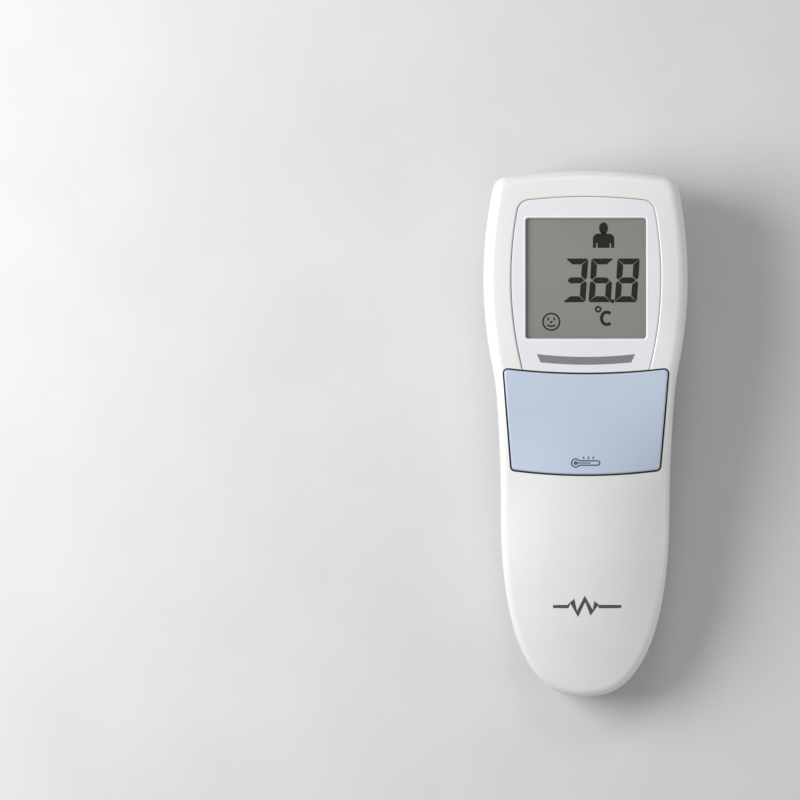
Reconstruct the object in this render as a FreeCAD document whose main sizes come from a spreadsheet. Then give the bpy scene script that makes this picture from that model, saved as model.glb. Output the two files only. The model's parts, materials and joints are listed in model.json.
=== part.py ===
"""Non-contact infrared forehead thermometer, modelled as an assembly of separate pieces.

The thermometer lies on its back: X to the right, Y towards the head, Z out of the display.
The origin is under the middle of the case, on the surface that it lies on. Millimetres.
"""
import FreeCAD, Part
import functools
import math
import os
import Sketcher
from FreeCAD import Placement, Rotation, Vector

doc = FreeCAD.newDocument("thermometer")

DIMENSIONS = [
    ("top_y", 71.0, "apex of the head"),
    ("top_radius", 138.0, "arc across the top of the head"),
    ("corner_radius", 4.2, "corners of the head"),
    ("head_half", 27.4, "half of the greatest width"),
    ("head_centre_y", 42.0, "where the head is widest"),
    ("side_radius", 118.0, "convex sides of the head"),
    ("neck_y", 17.8, "where the head's sides end"),
    ("waist_half", 23.4, "half width just under the neck"),
    ("waist_y", 3.8, "height of the waist"),
    ("handle_half", 22.7, "half width of the handle"),
    ("handle_y", -18.0, "where the tail's curve starts"),
    ("tail_y", -71.0, "end of the tail"),
    ("tail_power", 2.5, "power of the tail's superellipse"),
    ("front_z", 33.0, "flat front of the head"),
    ("front_flat_y", 18.0, "where the front starts to fall away"),
    ("front_fall", 480.0, "front falls by distance squared over this"),
    ("roll_x", 20.0, "front starts to roll off towards each side"),
    ("roll_y", 64.0, "front starts to roll off towards the top"),
    ("roll_fall", 70.0, "roll-off falls by distance squared over this"),
    ("back_z", 9.5, "flat back of the head"),
    ("heel_y", -50.0, "where the handle touches the table"),
    ("back_flat_y", 12.0, "where the back reaches the head's flat"),
    ("tail_rise", 120.0, "back rises past the heel by distance squared over this"),
    ("crown", 5.0, "arch of the handle across its width"),
    ("front_fillet", 3.0, "rounded front rim"),
    ("back_fillet", 4.0, "rounded back rim"),
    ("wall", 2.0, "case wall"),
    ("seam", 0.12, "half of the gap between two case parts"),
    ("lip_gap", 0.3, "inner lip, from the wall that it lines"),
    ("lip_thick", 1.0, "inner lip"),
    ("lip_drop", 1.2, "inner lip below the seam"),
    ("edge_soft", 0.4, "rounded edge of the openings"),
    ("split_y", -2.0, "where the battery door meets the rear cover"),
    ("split_z", 20.2, "height of the seam in the head"),
    ("tilt", 8.5, "slope of the seam and the cells, degrees"),
    ("panel_top_y", 63.8, "top of the display panel"),
    ("panel_half", 20.15, "greatest half width of the panel"),
    ("panel_side_radius", 99.0, "convex sides of the panel"),
    ("panel_side_y", 41.9, "where the panel is widest"),
    ("panel_corner", 3.4, "top corners of the panel"),
    ("panel_z", 32.7, "face of the display panel"),
    ("panel_thick", 0.45, "panel over the clear window"),
    ("panel_flange", 1.2, "underside of the panel's glued flange, below the case wall"),
    ("glue", 0.2, "glue between the flange and the case wall"),
    ("panel_soft", 0.4, "rounded edge of the panel"),
    ("panel_gap", 0.08, "groove around the panel"),
    ("window_side", 32.3, "square opening of the display"),
    ("window_y", 41.85, "middle of the display"),
    ("window_corner", 0.8, "corners of the opening"),
    ("window_bevel", 0.3, "bevelled edge of the opening"),
    ("strip_half", 12.65, "half length of the indicator strip"),
    ("strip_y", 19.7, "middle of the strip"),
    ("strip_wide", 2.0, "width of the strip"),
    ("strip_radius", 117.0, "bow of the strip"),
    ("button_top_half", 22.1, "half width of the button's upper edge"),
    ("button_low_half", 19.85, "half width of the button's lower edge"),
    ("button_top_y", 17.5, "upper corners of the button"),
    ("button_low_y", -9.5, "lower corners of the button"),
    ("button_top_sag", 1.4, "dip of the upper edge"),
    ("button_low_sag", 1.35, "bulge of the lower edge"),
    ("button_corner", 1.0, "corners of the button"),
    ("button_gap", 0.45, "gap around the button"),
    ("button_base_z", 25.6, "underside of the button's rim"),
    ("button_rim", 0.6, "height of the button's hidden rim"),
    ("button_wall", 1.8, "side walls of the button"),
    ("seal_thick", 0.22, "dark seal around the button"),
    ("board_z", 22.0, "underside of the circuit board"),
    ("board_thick", 1.6, "circuit board"),
    ("board_half", 19.5, "half width of the circuit board"),
    ("board_low_y", -4.5, "lower edge of the board"),
    ("board_top_y", 66.0, "upper edge of the board"),
    ("screw_x", 17.4, "board screws, from the middle"),
    ("screw_low_y", 20.0, "lower pair of board screws"),
    ("screw_top_y", 63.6, "upper pair of board screws"),
    ("screw_r", 1.0, "shank of a small screw"),
    ("screw_head_r", 1.9, "head of a small screw"),
    ("screw_head", 1.2, "height of a screw's head"),
    ("boss_r", 2.4, "screw boss"),
    ("housing_x", 15.5, "housing screws, from the middle"),
    ("housing_y", 2.0, "housing screws, along the case"),
    ("housing_join", 14.0, "where the bosses of the two covers meet"),
    ("housing_seat", 11.2, "what the heads of the housing screws rest on"),
    ("housing_top", 21.6, "top of the front cover's bosses and ribs"),
    ("ear_along", -9.0, "tray screws, along the bay"),
    ("ear_side", 15.4, "tray screws, from the middle"),
    ("glass_half", 17.6, "half width of the display glass"),
    ("glass_thick", 2.8, "display glass"),
    ("glass_top_z", 31.75, "face of the display glass"),
    ("tape_thick", 0.1, "tape between the glass and the clear window"),
    ("lens_thick", 0.4, "clear window"),
    ("lens_half", 17.4, "half side of the clear window"),
    ("switch_side", 6.0, "push switch"),
    ("switch_tall", 2.6, "push switch housing"),
    ("switch_y", 3.0, "middle of the push switch"),
    ("plunger_r", 1.7, "push switch plunger"),
    ("plunger_tall", 1.2, "plunger above its housing"),
    ("plunger_foot", 0.2, "plunger inside its housing at rest"),
    ("switch_bore", 0.9, "depth of the housing's bore"),
    ("sensor_y", 48.0, "axis of the sensor barrel"),
    ("barrel_r", 12.0, "sensor barrel"),
    ("barrel_bore", 10.6, "bore of the barrel"),
    ("cone_mouth", 9.3, "wide end of the reflecting cone"),
    ("cone_throat", 3.4, "narrow end of the reflecting cone"),
    ("cone_seat", 11.0, "where the cone ends and the sleeve starts"),
    ("can_floor", 12.7, "front of the sensor can"),
    ("can_top", 17.2, "back of the sensor can"),
    ("sleeve_top", 19.0, "back of the metal sleeve"),
    ("retainer_thick", 1.2, "ring that holds the sensor in"),
    ("sleeve_r", 7.1, "metal sleeve around the sensor"),
    ("can_r", 4.1, "sensor can"),
    ("cell_r", 5.25, "battery radius"),
    ("cell_long", 44.5, "battery length with its nub"),
    ("cell_x", 5.7, "axis of each battery from the middle"),
    ("tray_y", -31.0, "middle of the battery tray"),
    ("tray_z", 11.6, "height of the battery axes there"),
    ("tray_half", 12.9, "half width of the tray"),
    ("tray_bay", 24.3, "half length of the battery bay"),
    ("tray_wall", 1.2, "tray wall"),
    ("tray_floor", 5.4, "tray floor above the battery axes"),
    ("spring_long", 3.5, "battery spring when loaded"),
    ("spring_wire_r", 0.3, "spring wire"),
    ("spring_seat", 0.4, "middle of the end coils from what they press on"),
]

sheet = doc.addObject("Spreadsheet::Sheet", "dims")
for row, (alias, size, note) in enumerate(DIMENSIONS, start=1):
    sheet.set(f"A{row}", alias)
    sheet.set(f"B{row}", str(size))
    sheet.setAlias(f"B{row}", alias)
    sheet.set(f"C{row}", note)
doc.recompute()

PARTS = []


def dim(expression):
    """Value of an expression that uses the sheet's names as they are."""
    return float(sheet.evalExpression(bound(expression)))


def bound(expression):
    """The same expression with every sheet name written as dims.name."""
    text = str(expression)
    out = ""
    word = ""
    for mark in text + " ":
        if mark.isalnum() or mark == "_":
            word += mark
            continue
        out += f"dims.{word}" if word in ALIASES else word
        out += mark
        word = ""
    return out.strip()


ALIASES = {alias for alias, size, note in DIMENSIONS}


def register(piece, label):
    """Name a finished sub-part and keep it for export."""
    piece.Label = label
    PARTS.append(piece)
    return piece


def place(piece, x="0", y="0", z="0"):
    """Bind the position of a sub-part to the sheet."""
    for axis, expression in (("x", x), ("y", y), ("z", z)):
        piece.setExpression(f"Placement.Base.{axis}", bound(expression))


def place_in_bay(piece, along="0", side="0", above="0", turn=0.0):
    """Place a sub-part in the tilted frame of the battery bay."""
    piece.Placement = Placement(Vector(0, 0, 0), Rotation(Vector(1, 0, 0), dim("tilt") + turn))
    place(piece, side,
          f"tray_y + ({along}) * cos(tilt * 1deg) - ({above}) * sin(tilt * 1deg)",
          f"tray_z + ({along}) * sin(tilt * 1deg) + ({above}) * cos(tilt * 1deg)")


# ---- sketches and simple solids -------------------------------------------------------------

def origin_plane(body, role):
    return next(item for item in body.Origin.OriginFeatures if item.Role == role)


def new_sketch(body, role, offset="0"):
    """A sketch on one of the body's own origin planes, raised along its normal."""
    sketch = body.newObject("Sketcher::SketchObject", "Sketch")
    sketch.AttachmentSupport = (origin_plane(body, role), [""])
    sketch.MapMode = "FlatFace"
    sketch.setExpression("AttachmentOffset.Base.z", bound(offset))
    return sketch


def pin_point(sketch, edge, end, x, y):
    """Fix a point of the sketch at sheet expressions measured from the sketch origin."""
    for kind, expression in (("DistanceX", x), ("DistanceY", y)):
        index = sketch.addConstraint(
            Sketcher.Constraint(kind, -1, 1, edge, end, dim(expression)))
        sketch.setExpression(f"Constraints[{index}]", bound(expression))


def polygon(sketch, corners):
    """Closed outline through corners given as pairs of sheet expressions."""
    first = sketch.GeometryCount
    count = len(corners)
    spots = [Vector(dim(x), dim(y), 0) for x, y in corners]
    for index in range(count):
        sketch.addGeometry(Part.LineSegment(spots[index], spots[(index + 1) % count]), False)
    for index in range(count):
        following = first + (index + 1) % count
        sketch.addConstraint(Sketcher.Constraint("Coincident", first + index, 2, following, 1))
    for index, (x, y) in enumerate(corners):
        pin_point(sketch, first + index, 1, x, y)


def rectangle(sketch, x0, y0, x1, y1):
    polygon(sketch, [(x0, y0), (x1, y0), (x1, y1), (x0, y1)])


def circle(sketch, x, y, radius):
    index = sketch.addGeometry(Part.Circle(Vector(dim(x), dim(y), 0), Vector(0, 0, 1),
                                           dim(radius)), False)
    pin_point(sketch, index, 3, x, y)
    constraint = sketch.addConstraint(Sketcher.Constraint("Radius", index, dim(radius)))
    sketch.setExpression(f"Constraints[{constraint}]", bound(radius))


def pad(body, sketch, length):
    feature = body.newObject("PartDesign::Pad", "Pad")
    feature.Profile = sketch
    feature.setExpression("Length", bound(length))
    doc.recompute()
    return feature


def pocket(body, sketch, length, upwards):
    """Cut a sketch into the body; upwards cuts along the sketch normal."""
    before = body.Shape.Volume
    feature = body.newObject("PartDesign::Pocket", "Pocket")
    feature.Profile = sketch
    feature.setExpression("Length", bound(length))
    feature.Reversed = upwards
    doc.recompute()
    if body.Shape.Volume >= before - 1e-6:
        raise RuntimeError(f"{body.Label}: the pocket cuts nothing")
    return feature


def new_body(label):
    body = doc.addObject("PartDesign::Body", label)
    return register(body, label)


def plate(label, rectangles, bottom, height, circles=()):
    """Flat piece padded up from a height; inner outlines become holes."""
    body = new_body(label)
    sketch = new_sketch(body, "XY_Plane", bottom)
    for corners in rectangles:
        rectangle(sketch, *corners)
    for spot in circles:
        circle(sketch, *spot)
    pad(body, sketch, height)
    return body


def turned(label, profile, role="XZ_Plane"):
    """Solid of revolution about the body's Z axis from (radius, height) expressions."""
    body = new_body(label)
    sketch = new_sketch(body, role)
    polygon(sketch, profile)
    feature = body.newObject("PartDesign::Revolution", "Revolution")
    feature.Profile = sketch
    feature.ReferenceAxis = (sketch, ["V_Axis"])
    feature.Angle = 360
    doc.recompute()
    return body


def feature_part(label, shape):
    """A free-form piece whose shape comes from the formulas below."""
    piece = doc.addObject("Part::Feature", label)
    piece.Shape = shape
    return register(piece, label)


# ---- the case's outer form ------------------------------------------------------------------

def smooth(value):
    """Ease from 0 to 1."""
    value = min(1.0, max(0.0, value))
    return value * value * (3.0 - 2.0 * value)


def circle_meeting(centre_a, reach_a, centre_b, reach_b):
    """Right-hand upper point at the given distances from two centres."""
    span = centre_b - centre_a
    distance = span.Length
    along = (reach_a ** 2 - reach_b ** 2 + distance ** 2) / (2.0 * distance)
    across = math.sqrt(reach_a ** 2 - along ** 2)
    unit = span * (1.0 / distance)
    normal = Vector(-unit.y, unit.x, 0)
    spots = [centre_a + unit * along + normal * across, centre_a + unit * along - normal * across]
    return max(spots, key=lambda spot: spot.x + spot.y)


def arc_between(centre, radius, start, end):
    """Short arc about a centre from start to end."""
    middle = (start + end) * 0.5 - centre
    middle.normalize()
    return Part.Arc(start, centre + middle * radius, end).toShape()


def mirrored(point):
    return Vector(-point.x, point.y, point.z)


def tail_points(half, end_y, steps):
    """Superellipse from the right flank round the tail to the left flank."""
    power = 2.0 / dim("tail_power")
    drop = dim("handle_y") - end_y
    points = []
    for step in range(steps + 1):
        angle = math.pi * step / steps
        side = math.cos(angle)
        x = math.copysign(half * abs(side) ** power, side)
        points.append(Vector(x, dim("handle_y") - drop * abs(math.sin(angle)) ** power, 0))
    return points


def case_outline(inset):
    """Closed outline of the case seen from the front, moved inwards by the inset."""
    top_centre = Vector(0, dim("top_y - top_radius"), 0)
    side_centre = Vector(dim("head_half - side_radius"), dim("head_centre_y"), 0)
    top_r = dim("top_radius") - inset
    side_r = dim("side_radius") - inset
    corner_r = max(dim("corner_radius") - inset, 0.8)
    corner = circle_meeting(top_centre, top_r - corner_r, side_centre, side_r - corner_r)
    top_right = top_centre + (corner - top_centre).normalize() * top_r
    side_start = side_centre + (corner - side_centre).normalize() * side_r
    fall = math.asin(dim("neck_y - head_centre_y") / dim("side_radius"))
    side_end = side_centre + Vector(math.cos(fall), math.sin(fall), 0) * side_r
    flow = Vector(math.sin(fall), -math.cos(fall), 0)
    waist = Vector(dim("waist_half") - inset, dim("waist_y"), 0)
    tail = tail_points(dim("handle_half") - inset, dim("tail_y") + inset, 20)
    neck = Part.BSplineCurve()
    neck.interpolate(Points=[side_end, waist, tail[0]],
                     InitialTangent=flow, FinalTangent=Vector(0, -1, 0))
    end = Part.BSplineCurve()
    end.interpolate(Points=tail, InitialTangent=Vector(0, -1, 0), FinalTangent=Vector(0, 1, 0))
    right = [arc_between(corner, corner_r, top_right, side_start),
             arc_between(side_centre, side_r, side_start, side_end),
             neck.toShape()]
    flip = FreeCAD.Matrix(-1, 0, 0, 0, 0, 1, 0, 0, 0, 0, 1, 0, 0, 0, 0, 1)
    left = [edge.transformGeometry(flip) for edge in right]
    top = Part.Arc(mirrored(top_right), Vector(0, top_centre.y + top_r, 0), top_right).toShape()
    edges = Part.__sortEdges__([top, end.toShape()] + right + left)
    return Part.Wire(edges)


def handle_crown(y, low_y, high_y):
    """Arch across the width: full on the handle, none on the head."""
    return dim("crown") * (1.0 - smooth((y - low_y) / (high_y - low_y)))


def front_height(x, y):
    fall = max(0.0, dim("front_flat_y") - y)
    arch = handle_crown(y, -22.0, 12.0) * (x / dim("handle_half")) ** 2
    past_side = max(0.0, abs(x) - dim("roll_x"))
    past_top = max(0.0, y - dim("roll_y"))
    roll = (past_side ** 2 + past_top ** 2) / dim("roll_fall")
    return dim("front_z") - fall ** 2 / dim("front_fall") - arch - roll


def back_height(x, y):
    heel = dim("heel_y")
    rise = smooth((y - heel) / (dim("back_flat_y") - heel)) * dim("back_z")
    past = max(0.0, heel - y)
    arch = handle_crown(y, -30.0, dim("front_flat_y")) * (x / dim("handle_half")) ** 2
    return rise + past ** 2 / dim("tail_rise") + arch


def surface_tool(height, shift, thickness):
    """Solid slab whose one face follows a height formula."""
    rows = []
    for step_x in range(-10, 11):
        x = step_x * 3.4
        line = [Vector(x, y, height(x, y) + shift) for y in range(-80, 81, 4)]
        rows.append(line)
    surface = Part.BSplineSurface()
    surface.interpolate(rows)
    return surface.toShape().extrude(Vector(0, 0, thickness))


@functools.cache
def case_form(inset):
    """Solid outer form of the whole case, moved inwards by the inset on every side."""
    prism = Part.Face(case_outline(inset)).extrude(Vector(0, 0, 60))
    prism.translate(Vector(0, 0, -10))
    solid = prism.cut(surface_tool(front_height, -inset, 40))
    solid = solid.cut(surface_tool(back_height, inset, -40)).Solids[0]
    for height, fillet in ((front_height, "front_fillet"), (back_height, "back_fillet")):
        shift = -inset if height is front_height else inset
        rim = [edge for edge in solid.Edges if on_surface(edge, height, shift)]
        solid = solid.makeFillet(max(dim(fillet) - inset, 0.6), rim)
    return solid


def on_surface(edge, height, shift):
    """True where the whole edge lies on the surface of a height formula."""
    spots = edge.discretize(5)
    return all(abs(spot.z - height(spot.x, spot.y) - shift) < 0.12 for spot in spots)


def side_region(points, half=60.0):
    """Prism across the whole width from a (y, z) polygon."""
    corners = [Vector(-half, y, z) for y, z in points]
    return Part.Face(Part.makePolygon(corners + corners[:1])).extrude(Vector(2 * half, 0, 0))


def split_height(y):
    """Seam of the case: tilted along the handle, level in the head."""
    drop = min(0.0, y - dim("split_y")) * math.tan(math.radians(dim("tilt")))
    return dim("split_z") + drop


def above_split(lift):
    low, mid, high = -90.0, dim("split_y"), 90.0
    return side_region([(low, split_height(low) + lift), (mid, split_height(mid) + lift),
                        (high, split_height(high) + lift), (high, 60.0), (low, 60.0)])


def below_split(drop, low, high):
    mid = dim("split_y")
    line = [(y, split_height(y) - drop) for y in (low, mid, high) if low <= y <= high]
    return side_region(line + [(high, -20.0), (low, -20.0)])


OUTER = case_form(0.0)
INNER = case_form(dim("wall"))
SHELL = OUTER.cut(INNER)


# ---- openings of the front cover ------------------------------------------------------------

def prism_of(wire, low, high):
    solid = Part.Face(wire).extrude(Vector(0, 0, high - low))
    solid.translate(Vector(0, 0, low))
    return solid


def rounded(solid, radius, wanted):
    """Fillet the upright edges that the test picks."""
    edges = [edge for edge in solid.Edges if upright(edge) and wanted(edge.CenterOfMass)]
    return solid.makeFillet(radius, edges)


def upright(edge):
    start, end = edge.Vertexes[0].Point, edge.Vertexes[-1].Point
    return abs(start.x - end.x) + abs(start.y - end.y) < 1e-6 and abs(start.z - end.z) > 1e-3


def button_prism(grow, low, high):
    """Button outline, grown on every side, between two heights."""
    top_half = dim("button_top_half") + grow
    low_half = dim("button_low_half") + grow
    top_y = dim("button_top_y") + grow
    low_y = dim("button_low_y") - grow
    top = Part.Arc(Vector(-top_half, top_y, 0), Vector(0, top_y - dim("button_top_sag"), 0),
                   Vector(top_half, top_y, 0))
    bottom = Part.Arc(Vector(low_half, low_y, 0), Vector(0, low_y - dim("button_low_sag"), 0),
                      Vector(-low_half, low_y, 0))
    right = Part.LineSegment(Vector(top_half, top_y, 0), Vector(low_half, low_y, 0))
    left = Part.LineSegment(Vector(-low_half, low_y, 0), Vector(-top_half, top_y, 0))
    wire = Part.Wire([piece.toShape() for piece in (top, right, bottom, left)])
    solid = prism_of(wire, low, high)
    return rounded(solid, max(dim("button_corner") + grow, 0.3), lambda spot: True)


def panel_prism(grow, low, high):
    """Display panel outline, grown on every side, between two heights."""
    side_r = dim("panel_side_radius") + grow
    side_centre = Vector(dim("panel_half - panel_side_radius"), dim("panel_side_y"), 0)
    top_r = dim("top_radius")
    top_centre = Vector(0, dim("panel_top_y") + grow - top_r, 0)
    corner = circle_meeting(top_centre, top_r, side_centre, side_r)
    foot_y = dim("button_top_y - 1.6")
    foot = side_centre.x + math.sqrt(side_r ** 2 - (foot_y - side_centre.y) ** 2)
    low_right = Vector(foot, foot_y, 0)
    side = arc_between(side_centre, side_r, corner, low_right)
    base = Part.LineSegment(low_right, mirrored(low_right)).toShape()
    other = arc_between(mirrored(side_centre), side_r, mirrored(low_right), mirrored(corner))
    top = Part.Arc(mirrored(corner), Vector(0, top_centre.y + top_r, 0), corner).toShape()
    solid = prism_of(Part.Wire([side, base, other, top]), low, high)
    return rounded(solid, dim("panel_corner") + grow, lambda spot: spot.y > corner.y - 1.0)


def square_prism(half, corner, low, high):
    """Square about the middle of the display."""
    middle = dim("window_y")
    solid = Part.makeBox(2 * half, 2 * half, high - low, Vector(-half, middle - half, low))
    return rounded(solid, corner, lambda spot: True)


def strip_prism(grow, low, high):
    """Bowed indicator strip with slanting ends."""
    half = dim("strip_half") + grow
    wide = dim("strip_wide") / 2 + grow
    centre = Vector(0, dim("strip_y + strip_radius"), 0)
    upper = dim("strip_radius") - wide
    lower = dim("strip_radius") + wide
    slant = 0.5
    points = []
    for reach, x in ((upper, half + slant), (lower, half - slant)):
        drop = math.sqrt(reach ** 2 - x ** 2)
        points.append(Vector(x, centre.y - drop, 0))
    top_right, low_right = points
    top = Part.Arc(mirrored(top_right), Vector(0, centre.y - upper, 0), top_right).toShape()
    bottom = Part.Arc(low_right, Vector(0, centre.y - lower, 0), mirrored(low_right)).toShape()
    right = Part.LineSegment(top_right, low_right).toShape()
    left = Part.LineSegment(mirrored(low_right), mirrored(top_right)).toShape()
    return prism_of(Part.Wire([top, right, bottom, left]), low, high)


def post(x, y, low, high, radius, bore=0.0):
    """Round post on its own axis, with a bore where one is given."""
    solid = Part.makeCylinder(radius, high - low, Vector(x, y, low))
    if bore > 0.0:
        solid = solid.cut(Part.makeCylinder(bore, high - low, Vector(x, y, low)))
    return solid


HEAD_INNER_Z = dim("front_z - wall")
ON_BOARD = "board_z + board_thick"
BOARD_TOP = dim(ON_BOARD)


def bay_placement():
    """Frame of the battery bay: Y along the cells, Z away from the door."""
    return Placement(Vector(0, dim("tray_y"), dim("tray_z")),
                     Rotation(Vector(1, 0, 0), dim("tilt")))


def inner_lip():
    """Lip inside the seam: it hangs from the front cover and stands clear of the parts below."""
    core = case_form(dim("wall + lip_gap + lip_thick"))
    hanging = case_form(dim("wall + lip_gap")).cut(core).common(above_split(-dim("lip_drop")))
    root = case_form(dim("wall") - 0.2).cut(core).common(above_split(0.4))
    return hanging.fuse(root).cut(above_split(1.8))


def front_cover_shape():
    """Upper half of the case with the display and button openings and its inner bosses."""
    cover = SHELL.common(above_split(dim("seam")))
    cover = cover.fuse(inner_lip())
    opening = panel_prism(dim("panel_gap"), 25, 40).fuse(button_prism(dim("button_gap"), 25, 40))
    cover = cover.cut(opening)
    rim = [edge for edge in cover.Edges if on_surface(edge, front_height, 0.0) and by_panel(edge)]
    cover = cover.makeFillet(dim("edge_soft"), rim)
    rib_long = 7.0
    rib_thick = 2.4
    rib_low = dim("split_z") - 5.0
    rib_tall = dim("housing_top") - rib_low
    seat = dim("tray_floor + tray_wall")
    for side in (-1, 1):
        x = side * dim("housing_x")
        y = dim("housing_y")
        boss = post(x, y, dim("housing_join"), dim("housing_top"), 2.6)
        corner = Vector(min(x, x + side * rib_long), y - rib_thick / 2, rib_low)
        rib = Part.makeBox(rib_long, rib_thick, rib_tall, corner)
        root = rib.common(case_form(1.0)).common(above_split(dim("seam")))
        cover = cover.fuse([boss, rib.common(case_form(dim("wall + lip_gap"))), root])
        cover = cover.cut(post(x, y, dim("housing_join"), 20.0, dim("screw_r")))
        ear_x = side * dim("ear_side")
        ear = post(ear_x, dim("ear_along"), seat, seat + 9.4, 2.2)
        hole = post(ear_x, dim("ear_along"), seat, seat + 4.4, dim("screw_r"))
        ear.Placement = bay_placement()
        hole.Placement = bay_placement()
        cover = cover.fuse(ear.common(case_form(1.0))).cut(hole)
    return cover.removeSplitter()


def by_panel(edge):
    """True on the rim of the display panel's opening."""
    spot = edge.CenterOfMass
    inside = abs(spot.x) < dim("panel_half") + 1.0 and spot.y < dim("panel_top_y") + 1.0
    return inside and spot.y > dim("button_top_y") + 1.0


def rear_cover_shape():
    """Back of the head: sensor hole, four board posts and two counterbored housing screws."""
    cover = SHELL.common(below_split(dim("seam"), dim("split_y + seam"), 90.0))
    inside = case_form(1.0)
    for side in (-1, 1):
        for y in (dim("screw_low_y"), dim("screw_top_y")):
            x = side * dim("screw_x")
            cover = cover.fuse(post(x, y, 9.0, dim("board_z"), dim("boss_r")).common(inside))
            cover = cover.cut(post(x, y, 14.0, dim("board_z"), dim("screw_r")))
        x = side * dim("housing_x")
        y = dim("housing_y")
        join = dim("housing_join")
        cover = cover.fuse(post(x, y, 6.0, join, 2.9).common(OUTER))
        cover = cover.cut(post(x, y, 6.0, dim("housing_seat"), dim("screw_head_r") + 0.2))
        cover = cover.cut(post(x, y, dim("housing_seat") - 0.2, join + 1.0, dim("screw_r") + 0.15))
    cover = cover.cut(post(0, dim("sensor_y"), 5.0, 15.0, dim("barrel_r") + 0.15))
    return cover.removeSplitter()


def battery_door_shape():
    """Back of the handle with a latch tongue that reaches under the rear cover."""
    door = SHELL.common(below_split(dim("seam"), -90.0, dim("split_y - seam")))
    half = 1.5
    root = Part.makeBox(2 * half, 4.0, 2.5, Vector(-half, -6.5, 9.6)).common(case_form(1.0))
    tongue = Part.makeBox(2 * half, 4.0, 0.9, Vector(-half, -2.5, 11.2))
    return door.fuse([root, tongue]).removeSplitter()


def display_panel_shape():
    """Cool white plate with the display opening, a glued flange and the strip's slot."""
    low = HEAD_INNER_Z - dim("panel_flange")
    top = dim("panel_z")
    plate_solid = panel_prism(0.0, low, top)
    plate_solid = soften_top(plate_solid, top, dim("panel_soft"), lambda spot: spot.y > 18.0)
    flange = panel_prism(0.9 + dim("panel_gap"), low, HEAD_INNER_Z - dim("glue"))
    flange = flange.cut(Part.makeBox(80, 40, 80, Vector(-40, -20, 0)))
    panel = plate_solid.fuse(flange)
    panel = panel.cut(square_prism(dim("glass_half") + 0.15, 0.5, low, top - dim("panel_thick")))
    opening = square_prism(dim("window_side") / 2, dim("window_corner"), low, top)
    panel = panel.cut(opening)
    rim = [edge for edge in panel.Edges if on_level(edge, top) and in_window(edge)]
    panel = panel.makeChamfer(dim("window_bevel"), rim)
    panel = panel.cut(button_prism(dim("button_gap"), 20, 40))
    return panel.cut(strip_prism(0.04, 20, 40)).removeSplitter()


def on_level(edge, z):
    return all(abs(vertex.Z - z) < 1e-6 for vertex in edge.Vertexes)


def in_window(edge):
    spot = edge.CenterOfMass
    half = dim("window_side / 2") + 0.2
    return abs(spot.x) < half and abs(spot.y - dim("window_y")) < half


def soften_top(solid, level, radius, wanted):
    edges = [edge for edge in solid.Edges if on_level(edge, level) and wanted(edge.CenterOfMass)]
    return solid.makeFillet(radius, edges)


def indicator_strip_shape():
    """Light guide: its face lies in the panel and its stem reaches down to the lamps."""
    foot = HEAD_INNER_Z - dim("panel_flange")
    face = strip_prism(0.0, foot, dim("panel_z"))
    stem = strip_prism(-0.3, BOARD_TOP + 1.2, foot)
    return face.fuse(stem)


def measure_button_shape():
    """Hollow button whose face follows the front of the case, with a rim that keeps it in."""
    base = dim("button_base_z")
    cap = button_prism(0.0, base, 40).common(OUTER)
    face = [edge for edge in cap.Edges if on_surface(edge, front_height, 0.0)]
    cap = cap.makeFillet(0.5, face)
    rim = button_prism(1.0, base, base + dim("button_rim")).common(case_form(dim("wall") + 0.35))
    cap = cap.fuse(rim)
    cap = cap.cut(button_prism(-dim("button_wall"), base, 40).common(INNER))
    tip = BOARD_TOP + dim("switch_tall + plunger_tall") + 0.05
    stem = post(0, dim("switch_y"), tip, 40, 1.6).common(case_form(1.0))
    return cap.fuse(stem).removeSplitter()


def button_seal_shape():
    """Dark skirt around the button, a little below its face."""
    low = dim("button_base_z + button_rim")
    ring = button_prism(dim("seal_thick"), low, 40).cut(button_prism(0.01, low, 40))
    return ring.common(case_form(0.45))


def spring_shape():
    """Wire spring along Z; the middle of its wire starts at the origin's height."""
    wire_r = dim("spring_wire_r")
    rise = dim("spring_long") - 2 * dim("spring_seat")
    turns = 3.0
    coil_r = 3.0
    helix = Part.makeLongHelix(rise / turns, rise, coil_r)
    first = helix.Edges[0]
    start = first.valueAt(first.FirstParameter)
    ring = Part.Wire(Part.Circle(start, first.tangentAt(first.FirstParameter), wire_r).toShape())
    return Part.Wire(helix.Edges).makePipeShell([ring], True, True)


def wire_shape(x):
    """Short lead from the tray's end wall, along the case and up to the board."""
    start = Vector(x, -5.9, 18.6)
    bend = 2.2
    turn = Vector(x, -2.0, start.z)
    rise = Vector(x, turn.y + bend, start.z + bend)
    middle = Vector(x, turn.y + bend * math.sin(math.pi / 4),
                    start.z + bend * (1 - math.cos(math.pi / 4)))
    end = Vector(x, rise.y, dim("board_z"))
    path = Part.Wire([Part.LineSegment(start, turn).toShape(),
                      Part.Arc(turn, middle, rise).toShape(),
                      Part.LineSegment(rise, end).toShape()])
    ring = Part.Wire(Part.Circle(start, Vector(0, 1, 0), 0.5).toShape())
    return path.makePipeShell([ring], True, True)


# ---- case, display and button ---------------------------------------------------------------

feature_part("front_cover", front_cover_shape())
feature_part("rear_cover", rear_cover_shape())
feature_part("battery_door", battery_door_shape())
feature_part("display_panel", display_panel_shape())
feature_part("indicator_strip", indicator_strip_shape())
feature_part("measure_button", measure_button_shape())
feature_part("button_seal", button_seal_shape())


def square_plate(label, half, bottom, height, hole=None):
    """Square plate about the middle of the display, with a square hole if one is given."""
    corners = []
    for reach in [half] if hole is None else [half, hole]:
        corners.append((f"-({reach})", f"window_y - ({reach})", reach, f"window_y + ({reach})"))
    return plate(label, corners, bottom, height)


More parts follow.
